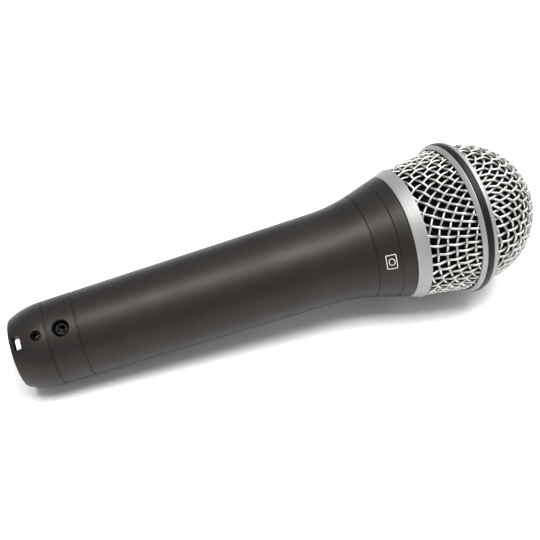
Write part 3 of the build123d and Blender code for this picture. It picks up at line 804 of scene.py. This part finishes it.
def plated_metal(name, light, dark, roughness, patch_mm):
    """Machined or stamped metal with a thin plating or bright finish.

    The eye gets a clean metal colour with faint stains of the given size and scratches from
    handling. Real scratches are far under 0.1 mm; they are drawn 0.9 mm by 0.1 mm so that they
    show.
    """
    material, tree = new_material(name)
    place = add(tree, "ShaderNodeTexCoord").outputs["Object"]
    stain = add(tree, "ShaderNodeTexNoise", {
        "Vector": place, "Scale": 1 / (patch_mm * MM), "Detail": 4.0})
    streaks = add(tree, "ShaderNodeMapping", {"Vector": place, "Scale": (1.0, 8.0, 1.0)})
    scratch = add(tree, "ShaderNodeTexNoise", {
        "Vector": streaks.outputs["Vector"], "Scale": 1 / (0.9 * MM), "Detail": 2.0})
    tone = add(tree, "ShaderNodeValToRGB", {"Fac": stain.outputs["Fac"]})
    low, high = tone.color_ramp.elements
    low.position, high.position = 0.3, 0.65
    low.color, high.color = linear(dark), linear(light)
    rough = add(tree, "ShaderNodeMapRange", {
        "Value": scratch.outputs["Fac"], "To Min": roughness - 0.07, "To Max": roughness + 0.09})
    bump = add(tree, "ShaderNodeBump", {
        "Height": scratch.outputs["Fac"], "Strength": 0.2, "Distance": 0.01 * MM})
    shader = add(tree, "ShaderNodeBsdfPrincipled", {
        "Base Color": tone.outputs["Color"], "Metallic": 1.0, "Roughness": rough.outputs["Result"],
        "Normal": bump.outputs["Normal"]})
    add(tree, "ShaderNodeOutputMaterial", {"Surface": shader.outputs["BSDF"]})
    return material


def wound_wire(name, light, dark, wire_mm):
    """Enamelled copper wire, wound in close turns.

    The eye gets fine bright bands, with painted shade in the grooves between the turns, where the
    colour follows the bump's depth. Real turns are about 0.05 mm wide; they are drawn about
    twice as wide so that they show.
    """
    material, tree = new_material(name)
    turns = add(tree, "ShaderNodeTexWave", {
        "Vector": in_microphone(tree, (1 / (wire_mm * MM), 0.0, 0.0)), "Scale": 0.5},
        bands_direction="X")
    # painted shade: the colour follows the bump, dark in the grooves between the turns
    tone = add(tree, "ShaderNodeValToRGB", {"Fac": turns.outputs["Fac"]})
    low, high = tone.color_ramp.elements
    low.color, high.color = linear(dark), linear(light)
    bump = add(tree, "ShaderNodeBump", {
        "Height": turns.outputs["Fac"], "Strength": 0.5, "Distance": 0.05 * MM})
    shader = add(tree, "ShaderNodeBsdfPrincipled", {
        "Base Color": tone.outputs["Color"], "Metallic": 1.0, "Roughness": 0.35,
        "Normal": bump.outputs["Normal"]})
    add(tree, "ShaderNodeOutputMaterial", {"Surface": shader.outputs["BSDF"]})
    return material


def printed_ink(name, light, dark):
    """Pad-printed ink. The eye gets a flat off-white line, thin in spots of 0.3 mm."""
    material, tree = new_material(name)
    place = add(tree, "ShaderNodeTexCoord").outputs["Object"]
    wear = add(tree, "ShaderNodeTexNoise", {
        "Vector": place, "Scale": 1 / (0.3 * MM), "Detail": 3.0})
    tone = add(tree, "ShaderNodeValToRGB", {"Fac": wear.outputs["Fac"]})
    low, high = tone.color_ramp.elements
    low.position, high.position = 0.3, 0.5
    low.color, high.color = linear(dark), linear(light)
    shader = add(tree, "ShaderNodeBsdfPrincipled", {
        "Base Color": tone.outputs["Color"], "Roughness": 0.6, "IOR": 1.48})
    add(tree, "ShaderNodeOutputMaterial", {"Surface": shader.outputs["BSDF"]})
    return material


def thin_film(name, light, dark):
    """Polyester film. The eye gets a glossy straw-coloured skin with ripples 1.5 mm wide."""
    material, tree = new_material(name)
    place = add(tree, "ShaderNodeTexCoord").outputs["Object"]
    ripple = add(tree, "ShaderNodeTexNoise", {
        "Vector": place, "Scale": 1 / (1.5 * MM), "Detail": 1.0})
    tone = add(tree, "ShaderNodeValToRGB", {"Fac": ripple.outputs["Fac"]})
    low, high = tone.color_ramp.elements
    low.color, high.color = linear(dark), linear(light)
    bump = add(tree, "ShaderNodeBump", {
        "Height": ripple.outputs["Fac"], "Strength": 0.2, "Distance": 0.02 * MM})
    shader = add(tree, "ShaderNodeBsdfPrincipled", {
        "Base Color": tone.outputs["Color"], "Roughness": 0.14, "IOR": 1.64,
        "Normal": bump.outputs["Normal"]})
    add(tree, "ShaderNodeOutputMaterial", {"Surface": shader.outputs["BSDF"]})
    return material


def pressed_board(name, light, dark):
    """Phenolic fibre board.

    The eye gets a brown sheet with short mixed fibres. Real fibres are about 0.05 mm thick; they
    are drawn 0.35 mm thick so that they show.
    """
    material, tree = new_material(name)
    place = add(tree, "ShaderNodeTexCoord").outputs["Object"]
    laid = add(tree, "ShaderNodeMapping", {"Vector": place, "Scale": (1.0, 0.25, 1.0)})
    fibres = add(tree, "ShaderNodeTexNoise", {
        "Vector": laid.outputs["Vector"], "Scale": 1 / (0.35 * MM), "Detail": 3.0,
        "Distortion": 0.6})
    tone = add(tree, "ShaderNodeValToRGB", {"Fac": fibres.outputs["Fac"]})
    low, high = tone.color_ramp.elements
    low.position, high.position = 0.3, 0.7
    low.color, high.color = linear(dark), linear(light)
    bump = add(tree, "ShaderNodeBump", {
        "Height": fibres.outputs["Fac"], "Strength": 0.3, "Distance": 0.03 * MM})
    shader = add(tree, "ShaderNodeBsdfPrincipled", {
        "Base Color": tone.outputs["Color"], "Roughness": 0.55, "IOR": 1.6,
        "Normal": bump.outputs["Normal"]})
    add(tree, "ShaderNodeOutputMaterial", {"Surface": shader.outputs["BSDF"]})
    return material


# Sprayed and stoved: an even, almost neutral charcoal with a broad soft highlight.
charcoal = sprayed_paint("charcoal satin paint on cast zinc", "#1f1e1d", "#191817", 0.43)
# Turned and lacquered: a soft mid grey, with no mirror in it.
silver = turned_silver("silver lacquer on turned brass", "#a2a2a1", "#979796", 0.5)
# Drawn and plated: light grey, with a small hard glint on each crown of the weave.
nickel = drawn_wire("nickel plate on drawn steel wire", "#c9c8c5", "#b1b0ad", 0.42)
# Moulded in a polished tool: black, with one dull streak of light.
bumper_black = soft_rubber("moulded nitrile rubber", "#0e0e0e", "#080808", 0.5)
# Softer and chalkier, so greyer than the outer ring.
mount_black = soft_rubber("soft moulded mount rubber", "#232323", "#161616", 0.7)
# Blown and cut: swallows the light between the wires.
foam_black = open_cell_foam("reticulated black foam", "#0b0b0b", "#050505", 0.7)
# Pressed from fibres: matt dark grey with a fine nap.
felt = open_cell_foam("grey acoustic felt", "#2c2b2a", "#1c1b1b", 0.35)
# Moulded: near black and a little waxy.
nylon = moulded_plastic("moulded black nylon", "#1a1a1b", "#141414", 0.45, 0.4)
# Moulded: near black, and glossier than the nylon.
capsule_black = moulded_plastic("moulded black ABS", "#222224", "#1b1b1d", 0.38, 0.35)
# Moulded: a dark grey that sets the chamber off from the frame.
chamber_grey = moulded_plastic("moulded dark grey ABS", "#343437", "#2c2c2f", 0.45, 0.35)
# Extruded: a plain signal red and a plain creamy white, both slightly shiny.
red_sleeve = moulded_plastic("extruded red vinyl sleeve", "#ad1d1d", "#951616", 0.35, 0.6)
white_sleeve = moulded_plastic("extruded white vinyl sleeve", "#dddbd4", "#cbc9c1", 0.35, 0.6)
# Turned and plated: warm white metal, bright at the tips of the pins.
silver_plate = plated_metal("silver plate on turned brass", "#dcd7cb", "#c4beb0", 0.25, 2.0)
# Blackened in a bath: almost black, with sharp glints on the edges of the recess.
black_oxide = plated_metal("black oxide on steel", "#111113", "#09090a", 0.22, 1.0)
# Pressed and plated: pale grey with a slight straw cast.
zinc_plate = plated_metal("zinc plate on pressed steel", "#b9b6a6", "#a29f90", 0.33, 3.0)
# Sintered, ground and plated: the brightest and smoothest of the hidden metals.
nickel_magnet = plated_metal("nickel plate on a sintered magnet", "#cdcdc8", "#b9b9b3", 0.18, 4.0)
# Rolled strip, bare: a dull brown gold.
bronze = plated_metal("phosphor bronze strip", "#7d5a38", "#5f4329", 0.4, 2.0)
# Dipped in tin: pale and slightly milky.
tin = plated_metal("tinned brass lug", "#cbc8bf", "#b1aea4", 0.32, 0.8)
# Wound: orange copper under clear enamel, with painted shade darkening the grooves between the
# turns.
copper = wound_wire("enamelled copper winding", "#c2652c", "#6e3012", 0.16)
# Pressed film: pale straw, with sharp reflections.
film = thin_film("polyester diaphragm film", "#d8cfae", "#c6bb94")
# Printed: off-white and flat.
white_ink = printed_ink("off-white pad print", "#dedcd6", "#b9b7b0")
# Pressed sheet: mid brown.
board = pressed_board("phenolic fibre board", "#7a4a25", "#5a3316")

dressed = (
    (charcoal, (barrel,)),
    (silver, (collar, back_band, front_band)),
    (nickel, (dome_weave, basket_weave)),
    (bumper_black, (bumper,)),
    (foam_black, (foam,)),
    (felt, (screen,)),
    (nylon, (insert,)),
    (silver_plate, pins),
    (black_oxide, (screw,)),
    (white_ink, (mark,)),
    (red_sleeve, (leads["lead_hot"],)),
    (white_sleeve, (leads["lead_cold"],)),
    (mount_black, (mount,)),
    (capsule_black, (capsule_cap, capsule_rim)),
)
for material, pieces in dressed:
    for piece in pieces:
        dress(piece, material)
hidden = {
    "ground_spring": bronze,
    "seal_ring": mount_black,
    "rear_chamber": chamber_grey,
    "terminal_board": board,
    "terminal_lugs": tin,
    "yoke_cup": zinc_plate,
    "pole_plate": zinc_plate,
    "magnet": nickel_magnet,
    "voice_coil": copper,
    "diaphragm": film,
}
for node_name, material in hidden.items():
    dress(frame["nodes"][node_name], material)


# ---- floor and lights ----------------------------------------------------------------------
floor_size = 4.0  # metres
bpy.ops.object.select_all(action="DESELECT")
bpy.ops.mesh.primitive_plane_add(size=floor_size, location=(0, 0, 0))
floor = bpy.context.view_layer.objects.active
floor.name = "floor"
floor_material, floor_tree = new_material("white paper sweep")
floor_shader = add(floor_tree, "ShaderNodeBsdfDiffuse", {"Color": linear("#f7f7f7")})
add(floor_tree, "ShaderNodeOutputMaterial", {"Surface": floor_shader.outputs["BSDF"]})
dress(floor, floor_material)


def soft_light(name, place, aim, size, power):
    """A rectangular soft light that points at a spot, in metres and watts."""
    data = bpy.data.lights.new(name, "AREA")
    data.shape = "RECTANGLE"
    data.size, data.size_y = size
    data.energy = power
    light = bpy.data.objects.new(name, data)
    light.location = place
    light.rotation_euler = (Vector(place) - Vector(aim)).to_track_quat("Z", "Y").to_euler()
    bpy.context.scene.collection.objects.link(light)


soft_light("overhead", (-0.05, -0.18, 1.2), (0.0, 0.0, 0.0), (0.9, 0.42), 15.5)
soft_light("right_top", (0.5, 0.1, 1.0), (0.0, 0.0, 0.0), (0.6, 0.5), 6.0)
soft_light("right_fill", (0.6, 0.25, 0.35), (0.05, 0.0, 0.03), (0.4, 0.4), 1.5)
world = bpy.data.worlds.new("studio")
world.use_nodes = True
world.node_tree.nodes["Background"].inputs["Color"].default_value = (1, 1, 1, 1)
world.node_tree.nodes["Background"].inputs["Strength"].default_value = 0.5
bpy.context.scene.world = world
bpy.context.scene.view_settings.view_transform = "Standard"
